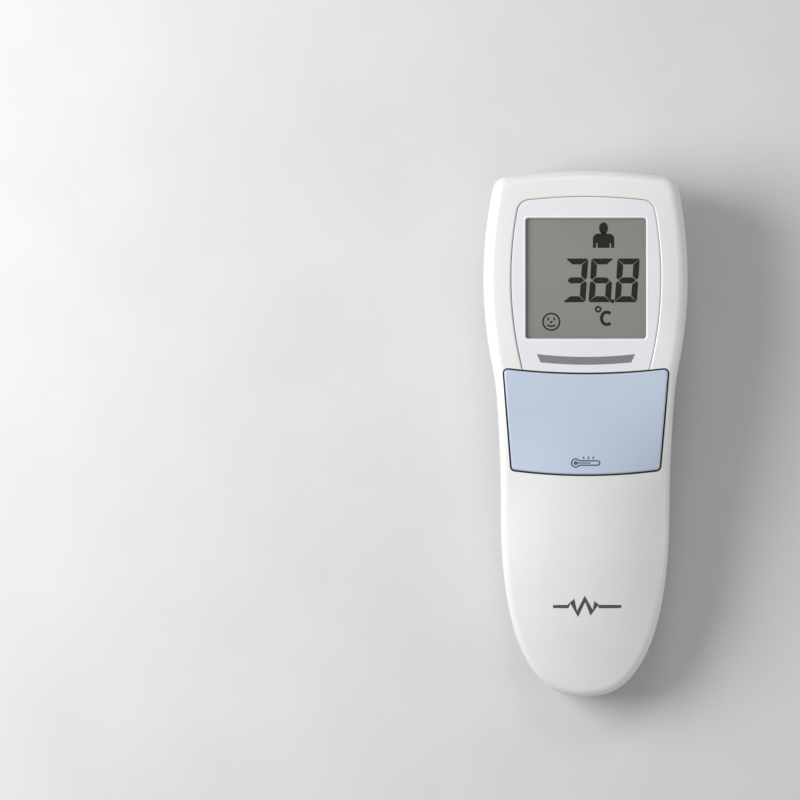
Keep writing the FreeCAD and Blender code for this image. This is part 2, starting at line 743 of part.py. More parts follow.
square_plate("display_window", "lens_half", "panel_z - panel_thick - lens_thick", "lens_thick")
square_plate("window_tape", "lens_half", "glass_top_z", "tape_thick", "16.4")
square_plate("lcd_glass", "glass_half", "glass_top_z - glass_thick", "glass_thick")
plate("lcd_reflector", [("-15.4", "window_y - 15.4", "15.4", "window_y + 15.4")],
      "glass_top_z - glass_thick - 0.3", "0.3")
square_plate("lcd_frame", "glass_half + 1.2", ON_BOARD, "6", "glass_half + 0.15")
for label, side in (("zebra_strip_lower", "-"), ("zebra_strip_upper", "+")):
    middle = f"window_y {side} 16.7"
    plate(label, [("-16", f"{middle} - 0.8", "16", f"{middle} + 0.8")],
          ON_BOARD, "glass_top_z - glass_thick - board_z - board_thick")

# ---- circuit board --------------------------------------------------------------------------

screw_spots = [(f"{side}screw_x", y) for y in ("screw_low_y", "screw_top_y")
               for side in ("-", "")]
plate("main_board", [("-board_half", "board_low_y", "board_half", "board_top_y")],
      "board_z", "board_thick", [(x, y, "screw_r + 0.1") for x, y in screw_spots])


def screw(label, x, y, seat, long, points_up):
    """Small pan-head screw; the seat is the height that the head rests on."""
    away = "" if points_up else "-"
    down = "-" if points_up else ""
    profile = [("0", f"{down}screw_head"), ("screw_head_r", f"{down}screw_head"),
               ("screw_head_r", "0"), ("screw_r - 0.05", "0"),
               ("screw_r - 0.05", f"{away}{long}"), ("0", f"{away}{long}")]
    body = turned(label, profile)
    place(body, x, y, seat)
    return body


for number, (x, y) in enumerate(screw_spots, start=1):
    screw(f"board_screw_{number}", x, y, ON_BOARD, "7", False)
for label, x in (("housing_screw_left", "-housing_x"), ("housing_screw_right", "housing_x")):
    screw(label, x, "housing_y", "housing_seat", "8", True)


def box(label, x, y, bottom, wide, long, tall):
    """Block centred on x and y."""
    piece = doc.addObject("Part::Box", label)
    for name, size in (("Length", wide), ("Width", long), ("Height", tall)):
        piece.setExpression(name, bound(size))
    place(piece, f"{x} - ({wide}) / 2", f"{y} - ({long}) / 2", bottom)
    return piece


register(box("microcontroller", "-6", "43", ON_BOARD, "10", "10", "1.4"), "microcontroller")
register(box("memory_chip", "8", "47", ON_BOARD, "5", "4", "1.2"), "memory_chip")
register(box("crystal", "8", "36", ON_BOARD, "7", "3", "2"), "crystal")


def small_blocks(label, spots, wide, long, tall):
    """Several equal blocks on the board as one node of separate solids."""
    group = doc.addObject("Part::Compound", label)
    group.Links = [box(f"{label}_block", x, y, ON_BOARD, wide, long, tall) for x, y in spots]
    return register(group, label)


small_blocks("capacitors", [(f"{x}", f"{y}") for x in (-13, -9, 13) for y in (32, 35, 51)],
             "1.6", "0.8", "0.9")
small_blocks("indicator_leds", [(f"{x}", "strip_y + 0.2") for x in (-8, 0, 8)],
             "1.6", "0.8", "0.6")

def switch_base():
    """Push switch housing with the blind bore that guides its plunger."""
    body = plate("switch_base", [("-switch_side / 2", "switch_y - switch_side / 2",
                                  "switch_side / 2", "switch_y + switch_side / 2")],
                 ON_BOARD, "switch_tall")
    bore = new_sketch(body, "XY_Plane", f"{ON_BOARD} + switch_tall - switch_bore")
    circle(bore, "0", "switch_y", "plunger_r + 0.05")
    pocket(body, bore, "switch_bore", True)


switch_base()


def cylinder(label, x, y, bottom, radius, tall):
    piece = doc.addObject("Part::Cylinder", label)
    piece.setExpression("Radius", bound(radius))
    piece.setExpression("Height", bound(tall))
    place(piece, x, y, bottom)
    return piece


register(cylinder("switch_plunger", "0", "switch_y", f"{ON_BOARD} + switch_tall - plunger_foot",
                  "plunger_r", "plunger_tall + plunger_foot"), "switch_plunger")
register(cylinder("buzzer", "0", "14", "board_z - 4.5", "6", "4.5"), "buzzer")

# ---- infrared sensor ------------------------------------------------------------------------

sensor_profiles = {
    "sensor_collar": [("barrel_bore", "0"), ("barrel_r", "0"), ("barrel_r", "cone_seat + 0.5"),
                      ("barrel_r + 1.5", "cone_seat + 0.5"), ("barrel_r + 1.5", "can_floor"),
                      ("sleeve_r + 1.5", "can_floor"), ("sleeve_r + 1.5", "sleeve_top"),
                      ("sleeve_r + 0.05", "sleeve_top"), ("sleeve_r + 0.05", "cone_seat"),
                      ("barrel_bore", "cone_seat")],
    "sensor_cone": [("cone_mouth", "1"), ("barrel_bore - 0.1", "1"), ("barrel_bore - 0.1", "3"),
                    ("cone_throat + 2.2", "cone_seat"), ("cone_throat", "cone_seat")],
    "sensor_sleeve": [("cone_throat", "cone_seat"), ("sleeve_r", "cone_seat"),
                      ("sleeve_r", "sleeve_top"), ("can_r + 0.1", "sleeve_top"),
                      ("can_r + 0.1", "can_floor - 0.2"), ("cone_throat", "can_floor - 0.2")],
    "sensor_can": [("0", "can_floor + 0.4"), ("2.6", "can_floor + 0.4"), ("2.6", "can_floor"),
                   ("can_r", "can_floor"), ("can_r", "can_top"), ("0", "can_top")],
    "sensor_retainer": [("3", "sleeve_top"), ("sleeve_r + 1.5", "sleeve_top"),
                        ("sleeve_r + 1.5", "sleeve_top + retainer_thick"),
                        ("3", "sleeve_top + retainer_thick")],
}
for label, profile in sensor_profiles.items():
    place(turned(label, profile), "0", "sensor_y", "0")
register(cylinder("sensor_window", "0", "sensor_y", "can_floor + 0.05", "2.5", "0.35"),
         "sensor_window")

leads = doc.addObject("Part::Compound", "sensor_leads")
leads.Links = [cylinder("lead", f"{x}", f"sensor_y + {y}", "can_top", "0.25", "board_z - can_top")
               for x in (-1.3, 1.3) for y in (-1.3, 1.3)]
register(leads, "sensor_leads")

# ---- batteries ------------------------------------------------------------------------------


def battery_tray():
    """Open trough for two cells with an ear for a screw on each side."""
    body = new_body("battery_tray")
    low = "-3"
    outer = new_sketch(body, "XY_Plane", low)
    rectangle(outer, "-tray_half", "-tray_bay - tray_wall", "tray_half", "tray_bay + tray_wall")
    pad(body, outer, "tray_floor + tray_wall + 3")
    bay = new_sketch(body, "XY_Plane", low)
    rectangle(bay, "tray_wall - tray_half", "-tray_bay", "tray_half - tray_wall", "tray_bay")
    pocket(body, bay, "tray_floor + 3", True)
    ears = new_sketch(body, "XY_Plane", "tray_floor")
    rectangle(ears, "-ear_side - 2", "ear_along - boss_r", "ear_side + 2", "ear_along + boss_r")
    pad(body, ears, "tray_wall")
    holes = new_sketch(body, "XY_Plane", "tray_floor")
    for x in ("-ear_side", "ear_side"):
        circle(holes, x, "ear_along", "screw_r + 0.1")
    pocket(body, holes, "tray_wall", True)
    place_in_bay(body)


battery_tray()
for label, x in (("tray_screw_left", "-ear_side"), ("tray_screw_right", "ear_side")):
    place_in_bay(screw(label, "0", "0", "0", "5", True), "ear_along", x, "tray_floor")

cell_profile = [("0", "0"), ("cell_r", "0"), ("cell_r", "cell_long - 1"),
                ("2.75", "cell_long - 1"), ("2.75", "cell_long"), ("0", "cell_long")]
cells = (("battery_left", "-cell_x", "spring_long + 0.3 - tray_bay", -90),
         ("battery_right", "cell_x", "tray_bay - 0.3 - spring_long", 90))
for label, side, along, turn in cells:
    place_in_bay(turned(label, cell_profile), along, side, "0", turn)

springs = (("spring_left", "-cell_x", "0.3 + spring_seat - tray_bay", -90),
           ("spring_right", "cell_x", "tray_bay - 0.3 - spring_seat", 90))
for label, side, along, turn in springs:
    place_in_bay(feature_part(label, spring_shape()), along, side, "0", turn)


def contact(label, side, half, along):
    """Thin upright contact plate against an end of the bay."""
    body = new_body(label)
    sketch = new_sketch(body, "XY_Plane", "-4")
    rectangle(sketch, f"-{half}", "0", half, "0.3")
    pad(body, sketch, "8")
    place_in_bay(body, along, side)


contact("contact_left", "-cell_x", "4.2", "tray_bay - 0.3")
contact("contact_right", "cell_x", "4.2", "tray_bay - 0.3")
contact("contact_bridge", "0", "9.9", "-tray_bay")
feature_part("battery_wire_red", wire_shape(-dim("cell_x")))
feature_part("battery_wire_black", wire_shape(dim("cell_x")))


# ---- check and export -----------------------------------------------------------------------

def check_document():
    """Stop if any object failed or any sub-part has no sound shape."""
    doc.recompute()
    for item in doc.Objects:
        if "Invalid" in item.State or "Error" in item.State:
            raise RuntimeError(f"{item.Label} failed to recompute: {item.State}")
    for piece in PARTS:
        if piece.Shape.isNull() or not piece.Shape.isValid():
            raise RuntimeError(f"{piece.Label} has no valid shape")
        if not piece.Shape.Solids:
            raise RuntimeError(f"{piece.Label} has no solid")


def export():
    os.makedirs("parts", exist_ok=True)
    for piece in PARTS:
        piece.Shape.exportStep(f"parts/{piece.Label}.step")


check_document()
export()
for piece in PARTS:
    bounds = piece.Shape.BoundBox
    print(f"{piece.Label:20s} {len(piece.Shape.Solids)} solid(s) {piece.Shape.Volume:9.1f} mm3"
          f"  z {bounds.ZMin:7.2f} to {bounds.ZMax:6.2f}")
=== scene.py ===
"""Looks of the infrared forehead thermometer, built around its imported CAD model.

Everything is in metres, in the CAD frame: X right, Y towards the head, Z out of the display.
"""

import json
import math

import bmesh
import bpy
from mathutils import Matrix, Vector
from mathutils.bvhtree import BVHTree


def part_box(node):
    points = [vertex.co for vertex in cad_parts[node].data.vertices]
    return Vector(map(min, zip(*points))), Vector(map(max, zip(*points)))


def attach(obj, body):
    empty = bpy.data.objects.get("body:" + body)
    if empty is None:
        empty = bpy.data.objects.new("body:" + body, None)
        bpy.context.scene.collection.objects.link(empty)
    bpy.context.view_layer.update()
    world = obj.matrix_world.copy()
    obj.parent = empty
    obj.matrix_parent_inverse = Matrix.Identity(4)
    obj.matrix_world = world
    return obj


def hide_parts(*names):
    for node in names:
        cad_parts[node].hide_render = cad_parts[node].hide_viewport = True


MM = 0.001

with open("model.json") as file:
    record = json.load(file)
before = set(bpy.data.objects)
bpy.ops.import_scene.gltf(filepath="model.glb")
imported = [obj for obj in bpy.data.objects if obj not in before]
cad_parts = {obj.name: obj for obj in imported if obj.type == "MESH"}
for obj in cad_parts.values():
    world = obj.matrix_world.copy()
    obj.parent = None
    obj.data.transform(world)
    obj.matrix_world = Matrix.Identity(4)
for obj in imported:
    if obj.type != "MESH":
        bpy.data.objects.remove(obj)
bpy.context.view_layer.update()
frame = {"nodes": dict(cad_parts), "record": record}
nodes = frame["nodes"]


# ---- node materials --------------------------------------------------------------------------

class Shader:
    """A Principled material whose nodes are added one call at a time."""

    def __init__(self, name):
        self.material = bpy.data.materials.new(name)
        self.material.use_nodes = True
        self.tree = self.material.node_tree
        self.surface = self.tree.nodes["Principled BSDF"]
        self.place = self.add("ShaderNodeTexCoord").outputs["Object"]

    def add(self, kind, **settings):
        node = self.tree.nodes.new(kind)
        for key, value in settings.items():
            setattr(node, key, value)
        return node

    def link(self, source, target):
        self.tree.links.new(source, target)

    def set(self, **values):
        """Constant values straight on the surface's sockets."""
        for key, value in values.items():
            self.surface.inputs[key.replace("_", " ")].default_value = value

    def noise(self, size, detail=3.0, stretch=(1.0, 1.0, 1.0)):
        """Noise whose blobs measure about the given size in metres."""
        mapping = self.add("ShaderNodeMapping")
        mapping.inputs["Scale"].default_value = stretch
        self.link(self.place, mapping.inputs["Vector"])
        noise = self.add("ShaderNodeTexNoise")
        noise.inputs["Scale"].default_value = 1.0 / size
        noise.inputs["Detail"].default_value = detail
        self.link(mapping.outputs["Vector"], noise.inputs["Vector"])
        return noise.outputs["Fac"]

    def between(self, factor, low, high, start=0.35, stop=0.65):
        """Map a factor onto a range of numbers."""
        node = self.add("ShaderNodeMapRange")
        node.inputs["From Min"].default_value = start
        node.inputs["From Max"].default_value = stop
        node.inputs["To Min"].default_value = low
        node.inputs["To Max"].default_value = high
        self.link(factor, node.inputs["Value"])
        return node.outputs["Result"]

    def tones(self, factor, low, high, start=0.3, stop=0.7):
        """Map a factor onto the colours between two tones."""
        node = self.add("ShaderNodeValToRGB")
        ends = zip(node.color_ramp.elements, (start, stop), (low, high))
        for element, position, colour in ends:
            element.position = position
            element.color = (*colour, 1.0)
        self.link(factor, node.inputs["Fac"])
        return node.outputs["Color"]

    def multiply(self, first, second):
        """Product of two colours."""
        node = self.add("ShaderNodeMix", data_type="RGBA", blend_type="MULTIPLY")
        node.inputs["Factor"].default_value = 1.0
        sockets = [socket for socket in node.inputs if socket.type == "RGBA"]
        for source, socket in zip((first, second), sockets):
            self.link(source, socket)
        return next(socket for socket in node.outputs if socket.type == "RGBA")

    def bump(self, height, depth, strength):
        """Fine relief, its depth in metres."""
        node = self.add("ShaderNodeBump")
        node.inputs["Strength"].default_value = strength
        node.inputs["Distance"].default_value = depth
        self.link(height, node.inputs["Height"])
        self.link(node.outputs["Normal"], self.surface.inputs["Normal"])


def shade(colour, gain):
    """A lighter or darker tone of a colour."""
    return tuple(min(1.0, channel * gain) for channel in colour)


def moulded(name, colour, roughness, grain=0.00025, depth=0.000004, spread=0.03, patch=0.02,
            uneven=0.08, **values):
    """Moulded plastic: faint patches of colour, uneven gloss and a fine grain."""
    shader = Shader(name)
    colours = shader.tones(shader.noise(patch, 4.0), shade(colour, 1.0 - spread),
                           shade(colour, 1.0 + spread / 2))
    shader.link(colours, shader.surface.inputs["Base Color"])
    gloss = shader.noise(grain * 12, 5.0)
    shader.link(shader.between(gloss, roughness * (1 - uneven), roughness * (1 + uneven)),
                shader.surface.inputs["Roughness"])
    shader.bump(shader.noise(grain, 2.0), depth, 0.6)
    shader.set(**values)
    return shader.material


def metal(name, colour, roughness, stretch=(1.0, 1.0, 8.0)):
    """Plated metal with fine drawn lines."""
    shader = Shader(name)
    tone = shader.noise(0.002, 4.0)
    colours = shader.tones(tone, shade(colour, 0.82), colour)
    shader.link(colours, shader.surface.inputs["Base Color"])
    lines = shader.noise(0.0004, 3.0, stretch)
    shader.link(shader.between(lines, roughness * 0.7, roughness * 1.3),
                shader.surface.inputs["Roughness"])
    shader.bump(lines, 0.000003, 0.5)
    shader.set(Metallic=1.0)
    return shader.material


def clear(name, tint, alpha, roughness):
    """Clear plate that lets the display show and keeps a weak gloss."""
    shader = Shader(name)
    haze = shader.noise(0.004, 3.0)
    shader.link(shader.between(haze, roughness * 0.7, roughness * 1.4),
                shader.surface.inputs["Roughness"])
    tone = shader.tones(haze, shade(tint, 0.97), tint)
    shader.link(tone, shader.surface.inputs["Base Color"])
    shader.set(Alpha=alpha)
    return shader.material


def display_glass(name, upper, lower):
    """Grey-green liquid crystal: a soft drift of tone and a very fine grain."""
    shader = Shader(name)
    colours = shader.tones(shader.noise(0.03, 2.0), lower, upper, 0.35, 0.65)
    grain = shader.noise(0.00012, 1.0)
    speckle = shader.tones(grain, (0.95, 0.95, 0.95), (1.0, 1.0, 1.0))
    shader.link(shader.multiply(colours, speckle), shader.surface.inputs["Base Color"])
    shader.link(shader.between(grain, 0.42, 0.5), shader.surface.inputs["Roughness"])
    return shader.material


CASE = moulded("case_plastic", (0.80, 0.80, 0.785), 0.34)
PANEL = moulded("panel_plastic", (0.79, 0.79, 0.82), 0.24, grain=0.0005, depth=0.000002)
BUTTON = moulded("button_plastic", (0.525, 0.605, 0.72), 0.30, grain=0.0004, depth=0.000002,
                 spread=0.02, uneven=0.05)
STRIP = moulded("strip_plastic", (0.225, 0.225, 0.25), 0.3, grain=0.0004, depth=0.000002)
RUBBER = moulded("seal_rubber", (0.012, 0.012, 0.014), 0.7, depth=0.00001)
DISPLAY = display_glass("display_cell", (0.285, 0.300, 0.267), (0.265, 0.278, 0.248))
INK = moulded("display_ink", (0.008, 0.010, 0.006), 0.5, depth=0.000001, Specular_IOR_Level=0.2)
WINDOW = clear("window_plastic", (0.12, 0.12, 0.12), 0.05, 0.05)
FILM = moulded("film_white", (0.75, 0.75, 0.74), 0.5)
BOARD = moulded("board_mask", (0.02, 0.13, 0.06), 0.35, grain=0.001, spread=0.2)
EPOXY = moulded("chip_epoxy", (0.02, 0.02, 0.022), 0.55, grain=0.0002, depth=0.00001)
TAN = moulded("ceramic_tan", (0.35, 0.25, 0.14), 0.45)
ZEBRA = moulded("zebra_elastomer", (0.10, 0.10, 0.11), 0.6)
STEEL = metal("plated_steel", (0.62, 0.61, 0.58), 0.3)
BRASS = metal("turned_brass", (0.75, 0.6, 0.33), 0.28)
FUNNEL = moulded("funnel_plastic", (0.022, 0.022, 0.025), 0.55, depth=0.00001)
FILTER = moulded("infrared_filter", (0.05, 0.05, 0.06), 0.08, depth=0.000001)
JACKET = moulded("battery_jacket", (0.05, 0.09, 0.16), 0.3, spread=0.1)
RED = moulded("wire_red", (0.45, 0.02, 0.015), 0.5)
# Whiter than the panel: the colour of a painted highlight line round the display window, not of
# a real part.
PAINTED_HIGHLIGHT = moulded("painted_highlight_plastic", (0.90, 0.90, 0.92), 0.2, depth=0.000001)
MARK = moulded("printed_mark", (0.075, 0.075, 0.08), 0.45, depth=0.000001)
BUTTON_MARK = moulded("printed_button_mark", (0.085, 0.115, 0.17), 0.45, depth=0.000001)

FINISHES = {
    "case_white": CASE, "panel_white": PANEL, "button_blue": BUTTON, "strip_grey": STRIP,
    "dark_rubber": RUBBER, "clear_window": WINDOW, "lcd": DISPLAY, "white_film": FILM,
    "zebra": ZEBRA, "board_green": BOARD, "chip_black": EPOXY, "plated_steel": STEEL,
    "ceramic_tan": TAN, "sensor_dark": FUNNEL, "sleeve_brass": BRASS,
    "sensor_filter": FILTER, "cell_jacket": JACKET, "wire_red": RED, "wire_black": RUBBER,
}
for entry in frame["record"]["subparts"]:
    mesh = nodes[entry["node"]].data
    mesh.materials.clear()
    mesh.materials.append(FINISHES[entry["material_slot"]])


# ---- mesh pieces -----------------------------------------------------------------------------
# Outlines are drawn flat, in millimetres of the CAD frame, and then raised to a height.

RAY_START = 0.2
DRAPE_STEP = 0.0006
DRAPE_SINK = 0.00004


def arc(centre, radius, start, stop, steps=24, squeeze=1.0):
    """Points along an arc in degrees; squeeze scales it in Y."""
    points = []
    for step in range(steps + 1):
        angle = math.radians(start + (stop - start) * step / steps)
        points.append((centre[0] + radius * math.cos(angle),
                       centre[1] + radius * squeeze * math.sin(angle)))
    return points


def circle(centre, radius, corners=24, squeeze=1.0):
    """Corners of a full circle."""
    return arc(centre, radius, 0, 360 - 360 / corners, corners - 1, squeeze)


def add_fill(mesh, points):
    """One flat face through a closed outline."""
    mesh.faces.new([mesh.verts.new((x * MM, y * MM, 0.0)) for x, y in points])


def add_stroke(mesh, points, width, closed=False):
    """Band of the given width along a line, mitred at its turns."""
    count = len(points)
    sides = []
    for index, (x, y) in enumerate(points):
        before = points[index - 1] if index > 0 or closed else points[index]
        after = points[(index + 1) % count] if index < count - 1 or closed else points[index]
        along = Vector((after[0] - before[0], after[1] - before[1])).normalized()
        turn = Vector((x - before[0], y - before[1]))
        leaves = Vector((after[0] - x, after[1] - y))
        spread = 1.0
        if turn.length > 1e-9 and leaves.length > 1e-9:
            spread = 1.0 / max(0.5, math.cos(turn.angle(leaves) / 2))
        across = Vector((-along.y, along.x)) * (width / 2 * spread)
        left = mesh.verts.new(((x + across.x) * MM, (y + across.y) * MM, 0.0))
        right = mesh.verts.new(((x - across.x) * MM, (y - across.y) * MM, 0.0))
        sides.append((left, right))
    pairs = list(zip(sides, sides[1:]))
    if closed:
        pairs.append((sides[-1], sides[0]))
    for (left_a, right_a), (left_b, right_b) in pairs:
        mesh.faces.new((left_a, right_a, right_b, left_b))


def surface_of(*names):
    """Trees of CAD nodes, for finding the height of their outer surface."""
    return [BVHTree.FromPolygons([v.co for v in nodes[name].data.vertices],
                                 [list(p.vertices) for p in nodes[name].data.polygons])
            for name in names]


def height_on(trees, x, y, from_above=True):
    """Height of the outermost surface at a place, seen from above or from below."""
    side = 1 if from_above else -1
    start = Vector((x, y, side * RAY_START))
    heading = Vector((0, 0, -side))
    found = [tree.ray_cast(start, heading)[0] for tree in trees]
    heights = [spot.z for spot in found if spot is not None]
    return max(heights) if from_above else min(heights)


def slice_mesh(mesh, step):
    """Cut the faces along a grid so that they can follow a curved surface."""
    for axis in (0, 1):
        low = min(v.co[axis] for v in mesh.verts)
        high = max(v.co[axis] for v in mesh.verts)
        normal = [0.0, 0.0, 0.0]
        normal[axis] = 1.0
        for count in range(1, int((high - low) / step) + 1):
            spot = [0.0, 0.0, 0.0]
            spot[axis] = low + count * step
            geometry = mesh.verts[:] + mesh.edges[:] + mesh.faces[:]
            bmesh.ops.bisect_plane(mesh, geom=geometry, plane_co=spot, plane_no=normal)


def finish_piece(name, mesh, material, body):
    """Turn a bmesh into an object that rides on a CAD body."""
    bmesh.ops.recalc_face_normals(mesh, faces=mesh.faces)
    data = bpy.data.meshes.new(name)
    mesh.to_mesh(data)
    mesh.free()
    data.materials.append(material)
    piece = bpy.data.objects.new(name, data)
    bpy.context.collection.objects.link(piece)
    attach(piece, body)
    return piece


def raise_faces(mesh, low, high):
    """Make a flat drawing solid: its foot at one height function and its top at another."""
    flat = mesh.faces[:]
    bottom = mesh.verts[:]
    lifted = bmesh.ops.extrude_face_region(mesh, geom=flat)
    top = [item for item in lifted["geom"] if isinstance(item, bmesh.types.BMVert)]
    for vertex in bottom:
        vertex.co.z = low(vertex.co.x, vertex.co.y)
    for vertex in top:
        vertex.co.z = high(vertex.co.x, vertex.co.y)


def printed(name, draw, level, thick, material, body):
    """Thin print or inlay on a level surface."""
    mesh = bmesh.new()
    draw(mesh)
    raise_faces(mesh, lambda x, y: level, lambda x, y: level + thick)
    return finish_piece(name, mesh, material, body)


def draped(name, draw, trees, thick, material, body, from_above=True):
    """Print or relief that follows a curved surface."""
    mesh = bmesh.new()
    draw(mesh)
    slice_mesh(mesh, DRAPE_STEP)
    out = 1 if from_above else -1
    raise_faces(mesh, lambda x, y: height_on(trees, x, y, from_above) - out * DRAPE_SINK,
                lambda x, y: height_on(trees, x, y, from_above) + out * thick)
    return finish_piece(name, mesh, material, body)


# ---- what the display shows ------------------------------------------------------------------

DIGIT_WIDE = 5.95
DIGIT_TALL = 11.75
SEGMENT = 1.6
NOTCH = 0.55
BLUNT = 0.22
SLIT = 0.16
SLANT = 0.067
READING_FOOT = 35.45
FIGURES = (("3", -6.1), ("6", 0.7), ("8", 7.72))
LIT = {"3": "abcdg", "6": "acdefg", "8": "abcdefg"}
ICON_LIFT = 0.01 * MM
ICON_THICK = 0.03 * MM


def segment_shapes():
    """The seven bars of a digit cell, from its lower left corner."""
    wide, tall, bar, tip, gap = DIGIT_WIDE, DIGIT_TALL, SEGMENT, NOTCH, SLIT
    half = tall / 2
    top = [(gap + BLUNT, tall), (wide - gap - BLUNT, tall), (wide - gap, tall - BLUNT),
           (wide - bar - gap, tall - bar), (bar + gap, tall - bar), (gap, tall - BLUNT)]
    upper_left = [(0, tall - gap - BLUNT), (BLUNT, tall - gap - BLUNT), (bar, tall - bar - gap),
                  (bar, half + bar - tip + gap), (tip, half + gap), (0, half + tip + gap)]
    reach = tip + gap
    middle = [(reach, half), (reach + bar / 2, half + bar / 2),
              (wide - reach - bar / 2, half + bar / 2), (wide - reach, half),
              (wide - reach - bar / 2, half - bar / 2), (reach + bar / 2, half - bar / 2)]

    def flip_x(shape):
        return [(wide - x, y) for x, y in shape]

    def flip_y(shape):
        return [(x, tall - y) for x, y in shape]

    return {"a": top, "b": flip_x(upper_left), "c": flip_y(flip_x(upper_left)),
            "d": flip_y(top), "e": flip_y(upper_left), "f": upper_left, "g": middle}


def draw_digit(mesh, figure, x, y):
    """One slanted figure, its lower left corner at the given place."""
    shapes = segment_shapes()
    for letter in LIT[figure]:
        add_fill(mesh, [(x + u + v * SLANT, y + v) for u, v in shapes[letter]])


def draw_reading(mesh):
    """The reading 36.8 in slanted seven-bar figures, with a round decimal point."""
    for figure, x in FIGURES:
        draw_digit(mesh, figure, x, READING_FOOT)
    point = (7.14, READING_FOOT + 0.3)
    point_radius = 0.56
    add_fill(mesh, circle(point, point_radius))


def draw_unit(mesh):
    """Degree ring and the letter C of the temperature scale."""
    ring_centre = (3.29, 33.56)
    ring_line = 0.48
    add_stroke(mesh, circle(ring_centre, 0.66), ring_line, closed=True)
    letter_centre = (5.6, 31.13)
    letter_line = 0.82
    mouth = 48
    bow = arc(letter_centre, 1.42, mouth, 360 - mouth, 30, squeeze=1.18)
    add_stroke(mesh, bow, letter_line)


def draw_person(mesh):
    """Pictogram of a head and shoulders with a slit beside each arm."""
    middle = 4.73
    foot = 50.05
    shoulder = 53.9
    half = 2.86
    roll = 1.45
    head_centre = (middle, 55.35)
    add_fill(mesh, circle(head_centre, 1.2, 36, squeeze=1.32))
    neck_low, neck_high = 53.8, 54.4
    add_fill(mesh, [(middle - 0.5, neck_low), (middle + 0.5, neck_low),
                    (middle + 0.6, neck_high), (middle - 0.6, neck_high)])
    right = [(half, foot), (half, shoulder - roll)]
    right += arc((half - roll, shoulder - roll), roll, 8, 90, 10)
    near, far, slit_top = 1.62, 2.02, foot + 1.3
    slit = [(near, foot), (near, slit_top), (far, slit_top), (far, foot)]
    outline = right + [(-x, y) for x, y in reversed(right)]
    outline += [(-x, y) for x, y in reversed(slit)] + slit
    add_fill(mesh, [(middle + x, y) for x, y in outline])


def draw_smile(mesh):
    """Round smiling face: rim, eyes, nose and mouth."""
    x, y = -9.32, 30.2
    line = 0.4
    eye_line = 0.38
    eye_side = 0.82
    add_stroke(mesh, circle((x, y), 2.24, 45), line, closed=True)
    for side in (-1, 1):
        eye = x + side * eye_side
        add_stroke(mesh, [(eye, y + 0.36), (eye, y + 1.14)], eye_line)
    add_fill(mesh, circle((x, y - 0.1), 0.32, 12))
    add_stroke(mesh, arc((x, y + 0.42), 1.62, 228, 312, 16), line)


display_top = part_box("lcd_glass")[1].z + ICON_LIFT
for name, draw in (("reading_digits", draw_reading), ("unit_symbol", draw_unit),
                   ("person_symbol", draw_person), ("smile_symbol", draw_smile)):
    printed(name, draw, display_top, ICON_THICK, INK, "case")


# ---- painted highlight round the display opening, and prints on the case ---------------------

# Size and place of the painted highlight line round the display window.
HIGHLIGHT_WIDE = 0.36
HIGHLIGHT_INSET = 0.78
HIGHLIGHT_CORNER = 1.0
HIGHLIGHT_SINK = 0.02 * MM
HIGHLIGHT_THICK = 0.07 * MM
PRINT_THICK = 0.02 * MM


def draw_painted_highlight(mesh):
    """Painted highlight: a narrow brighter-white line round the display opening, measured from
    the clear window's edge.
    """
    low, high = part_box("display_window")
    middle = (low.y + high.y) / 2 / MM
    half = (high.x - low.x) / 2 / MM - HIGHLIGHT_INSET
    reach = half - HIGHLIGHT_CORNER
    line = []
    for turn, (side_x, side_y) in enumerate(((1, 1), (-1, 1), (-1, -1), (1, -1))):
        line += arc((side_x * reach, middle + side_y * reach), HIGHLIGHT_CORNER,
                    90 * turn, 90 * turn + 88, 6)
    add_stroke(mesh, line, HIGHLIGHT_WIDE, closed=True)


panel_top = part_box("display_panel")[1].z
# Painted highlight: a thin brighter-white strip that stands in for light caught at the display
# opening's edge.
printed("window_painted_highlight", draw_painted_highlight, panel_top - HIGHLIGHT_SINK, HIGHLIGHT_THICK, PAINTED_HIGHLIGHT, "case")


def draw_button_mark(mesh):
    """Lying thermometer pictogram: a bulb, a stem and three ticks."""
    y = -7.75
    line = 0.38
    bulb = (-2.75, y)
    neck = 32
    add_stroke(mesh, arc(bulb, 1.1, neck, 360 - neck, 26), line)
    add_fill(mesh, circle(bulb, 0.55))
    stem_start, stem_end, stem_half = -1.85, 3.1, 0.6
    tip = arc((stem_end, y), stem_half, 90, -90, 12)
    add_stroke(mesh, [(stem_start, y + stem_half), *tip, (stem_start, y - stem_half)], line)
    column_start, column_end, column_half = -2.3, 1.3, 0.16
    add_fill(mesh, [(column_start, y - column_half), (column_end, y - column_half),
                    (column_end, y + column_half), (column_start, y + column_half)])
    for tick in (-0.6, 0.7, 2.0):
        add_stroke(mesh, [(tick, y + 1.1), (tick, y + 1.75)], line)


def draw_handle_mark(mesh):
    """Plain pulse line, as on any medical instrument."""
    x, y = 0.5, -46.5
    line = 0.85
    pulse = [(-9.2, 0), (-5.2, 0), (-4.0, 1.5), (-2.6, -2.0), (-0.6, 2.1), (1.2, -1.7),
             (2.4, 0.9), (3.2, 0), (9.2, 0)]
    add_stroke(mesh, [(x + dx, y + dy) for dx, dy in pulse], line)


draped("button_mark", draw_button_mark, surface_of("measure_button"), PRINT_THICK,
       BUTTON_MARK, "button")
draped("handle_mark", draw_handle_mark, surface_of("front_cover"), PRINT_THICK, MARK, "case")


# ---- details of the back ---------------------------------------------------------------------

SCREW_SIDES = 40
HEAD_TALL = 1.2 * MM
SHANK_RADIUS = 0.95 * MM


def ring(mesh, radius, height):
    """Level circle of vertices round the Z axis."""
    angles = [2 * math.pi * k / SCREW_SIDES for k in range(SCREW_SIDES)]
    return [mesh.verts.new((radius * math.cos(angle), radius * math.sin(angle), height))
            for angle in angles]


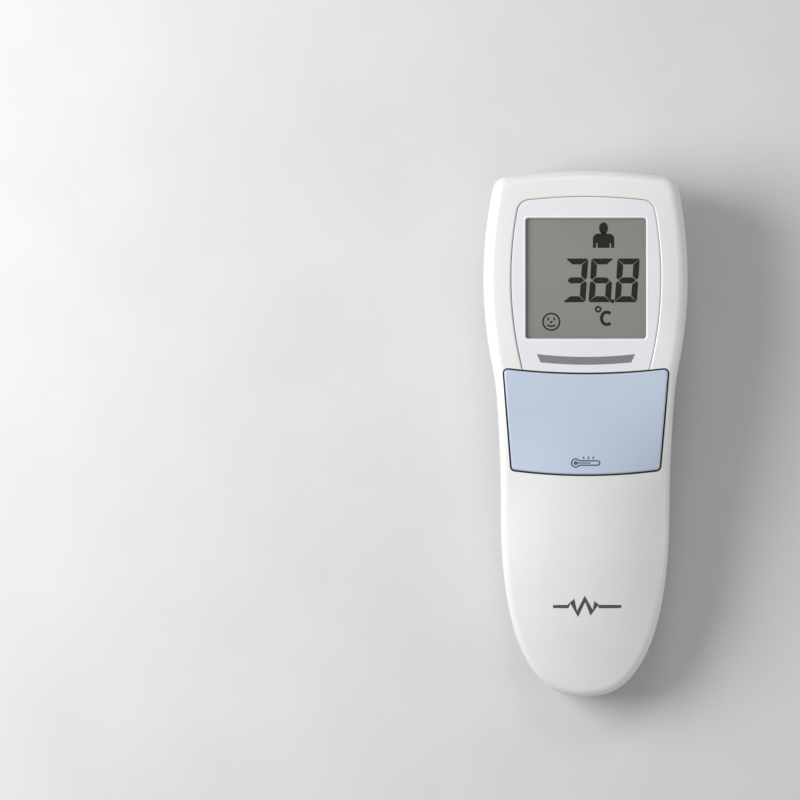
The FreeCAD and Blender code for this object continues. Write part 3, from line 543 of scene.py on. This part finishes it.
def bridge(mesh, first, second):
    """Band of faces between two closed loops."""
    for k in range(len(first)):
        following = (k + 1) % len(first)
        mesh.faces.new((first[k], first[following], second[following], second[k]))


def cross_outline(arm, half):
    """Corners of a plus sign, anticlockwise."""
    corner = [(arm, -half), (arm, half), (half, half)]
    points = []
    for turn in range(4):
        for x, y in corner:
            for _ in range(turn):
                x, y = -y, x
            points.append((x, y))
    return points


def screw_mesh(head_radius, head_tall, shank_radius, shank_long):
    """Pan-head screw that points along +Z, its head below the origin, with a cross recess."""
    mesh = bmesh.new()
    soft = head_tall * 0.35
    soft_steps = 6
    tip = ring(mesh, shank_radius * 0.3, shank_long)
    mesh.faces.new(tip)
    loops = [tip, ring(mesh, shank_radius, shank_long - shank_radius),
             ring(mesh, shank_radius, 0.0), ring(mesh, head_radius, 0.0),
             ring(mesh, head_radius, soft - head_tall)]
    for step in range(1, soft_steps):
        angle = math.pi / 2 * step / soft_steps
        loops.append(ring(mesh, head_radius - soft * (1 - math.cos(angle)),
                          soft - head_tall - soft * math.sin(angle)))
    loops.append(ring(mesh, head_radius - soft, -head_tall))
    for first, second in zip(loops, loops[1:]):
        bridge(mesh, first, second)
    recess_deep = head_tall * 0.6
    mouth = [mesh.verts.new((x, y, -head_tall))
             for x, y in cross_outline(head_radius * 0.6, head_radius * 0.14)]
    floor = [mesh.verts.new((x, y, recess_deep - head_tall))
             for x, y in cross_outline(head_radius * 0.42, head_radius * 0.11)]
    bridge(mesh, mouth, floor)
    mesh.faces.new(floor)
    rims = [mesh.edges.get((loop[k], loop[(k + 1) % len(loop)]))
            for loop in (loops[-1], mouth) for k in range(len(loop))]
    bmesh.ops.triangle_fill(mesh, edges=rims, use_beauty=True, use_dissolve=False)
    return mesh


def make_screw(node, tilt):
    """Detailed screw in place of a plain one, its axis tilted about X as the CAD has it."""
    turn = Matrix.Rotation(tilt, 4, "X")
    spots = [turn.inverted() @ vertex.co for vertex in nodes[node].data.vertices]
    low = Vector([min(spot[axis] for spot in spots) for axis in range(3)])
    high = Vector([max(spot[axis] for spot in spots) for axis in range(3)])
    head_radius = (high.x - low.x) / 2
    mesh = screw_mesh(head_radius, HEAD_TALL, SHANK_RADIUS, high.z - low.z - HEAD_TALL)
    seat = Vector(((low.x + high.x) / 2, (low.y + high.y) / 2, low.z + HEAD_TALL))
    mesh.transform(turn @ Matrix.Translation(seat))
    piece = finish_piece(f"{node}_detail", mesh, STEEL, "case")
    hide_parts(node)


door_slide = next(joint for joint in frame["record"]["behaviour"]["joints"]
                  if joint["name"] == "battery_door_slide")
bay_tilt = math.atan2(-door_slide["axis"][2], -door_slide["axis"][1])
for side in ("left", "right"):
    make_screw(f"housing_screw_{side}", 0.0)
    make_screw(f"tray_screw_{side}", bay_tilt)


GRIP_ROWS = 6
GRIP_PITCH = 1.9
GRIP_TALL = 0.35 * MM
ARROW_TALL = 0.25 * MM


def draw_grip(mesh):
    """Grip ridges across the door, bent in the middle and shorter towards the tail."""
    first_row, widest, taper = -9.5, 8.5, 0.35
    bend = 0.9
    ridge = 0.8
    for row in range(GRIP_ROWS):
        y = first_row - row * GRIP_PITCH
        half = widest - taper * row
        add_stroke(mesh, [(-half, y - bend), (0.0, y), (half, y - bend)], ridge)


def draw_arrow(mesh):
    """Arrow that points the way the door slides off."""
    half, foot, tip = 2.6, -23.6, -26.6
    add_fill(mesh, [(-half, foot), (0.0, tip), (half, foot)])


door_surface = surface_of("battery_door")
draped("door_grip", draw_grip, door_surface, GRIP_TALL, CASE, "door",
       from_above=False)
draped("door_arrow", draw_arrow, door_surface, ARROW_TALL, CASE, "door",
       from_above=False)


# ---- studio ----------------------------------------------------------------------------------
# Places and sizes in metres, powers in watts.

FLOOR_HALF = 1.5
FLOOR_DROP = 0.0002
LIGHT_TARGET = (0, 0, 0.02)
LIGHTS = (
    ("key", (-0.42, 0.10, 0.36), 0.40, 3.1),
    ("top", (0.02, 0.7, 0.8), 0.3, 1.0),
    ("rim", (0.6, -0.15, 0.2), 0.3, 0.8),
)
SKY_COLOUR = (0.97, 0.98, 1.0, 1.0)
SKY_LEVEL = 0.30
SENSOR_WIDE = 36.0
LENS = 400.0
VIEW_WIDE = 0.216
VIEW_CENTRE = (-0.04995, 0.00918, 0.02)


def make_floor():
    """Plain pale floor, just under the object."""
    shader = Shader("floor_paper")
    colours = shader.tones(shader.noise(0.03, 4.0), (0.66, 0.66, 0.67), (0.69, 0.69, 0.70))
    shader.link(colours, shader.surface.inputs["Base Color"])
    shader.set(Roughness=0.9)
    mesh = bpy.data.meshes.new("floor")
    corners = [(x * FLOOR_HALF, y * FLOOR_HALF, 0)
               for x, y in ((-1, -1), (1, -1), (1, 1), (-1, 1))]
    mesh.from_pydata(corners, [], [(0, 1, 2, 3)])
    mesh.materials.append(shader.material)
    floor = bpy.data.objects.new("floor", mesh)
    bpy.context.collection.objects.link(floor)
    floor.location.z = -FLOOR_DROP


def soft_light(name, place, size, power):
    """Round area light that faces the object."""
    light = bpy.data.lights.new(name, "AREA")
    light.shape = "DISK"
    light.size = size
    light.energy = power
    holder = bpy.data.objects.new(name, light)
    bpy.context.collection.objects.link(holder)
    holder.location = place
    heading = Vector(LIGHT_TARGET) - Vector(place)
    holder.rotation_euler = heading.to_track_quat("-Z", "Y").to_euler()


def make_world():
    """Even light from all round."""
    world = bpy.data.worlds.new("studio")
    world.use_nodes = True
    sky = world.node_tree.nodes["Background"]
    sky.inputs["Color"].default_value = SKY_COLOUR
    sky.inputs["Strength"].default_value = SKY_LEVEL
    bpy.context.scene.world = world


def make_camera():
    """Straight down from far away, with the object right of the view's centre."""
    camera = bpy.data.cameras.new("camera")
    camera.sensor_width = SENSOR_WIDE
    camera.lens = LENS
    camera.clip_end = 20.0
    holder = bpy.data.objects.new("camera", camera)
    bpy.context.collection.objects.link(holder)
    away = VIEW_WIDE * LENS / SENSOR_WIDE
    holder.location = Vector(VIEW_CENTRE) + Vector((0, 0, away))
    bpy.context.scene.camera = holder


make_floor()
make_world()
for name, place, size, power in LIGHTS:
    soft_light(name, place, size, power)
make_camera()
bpy.context.scene.view_settings.view_transform = "Standard"
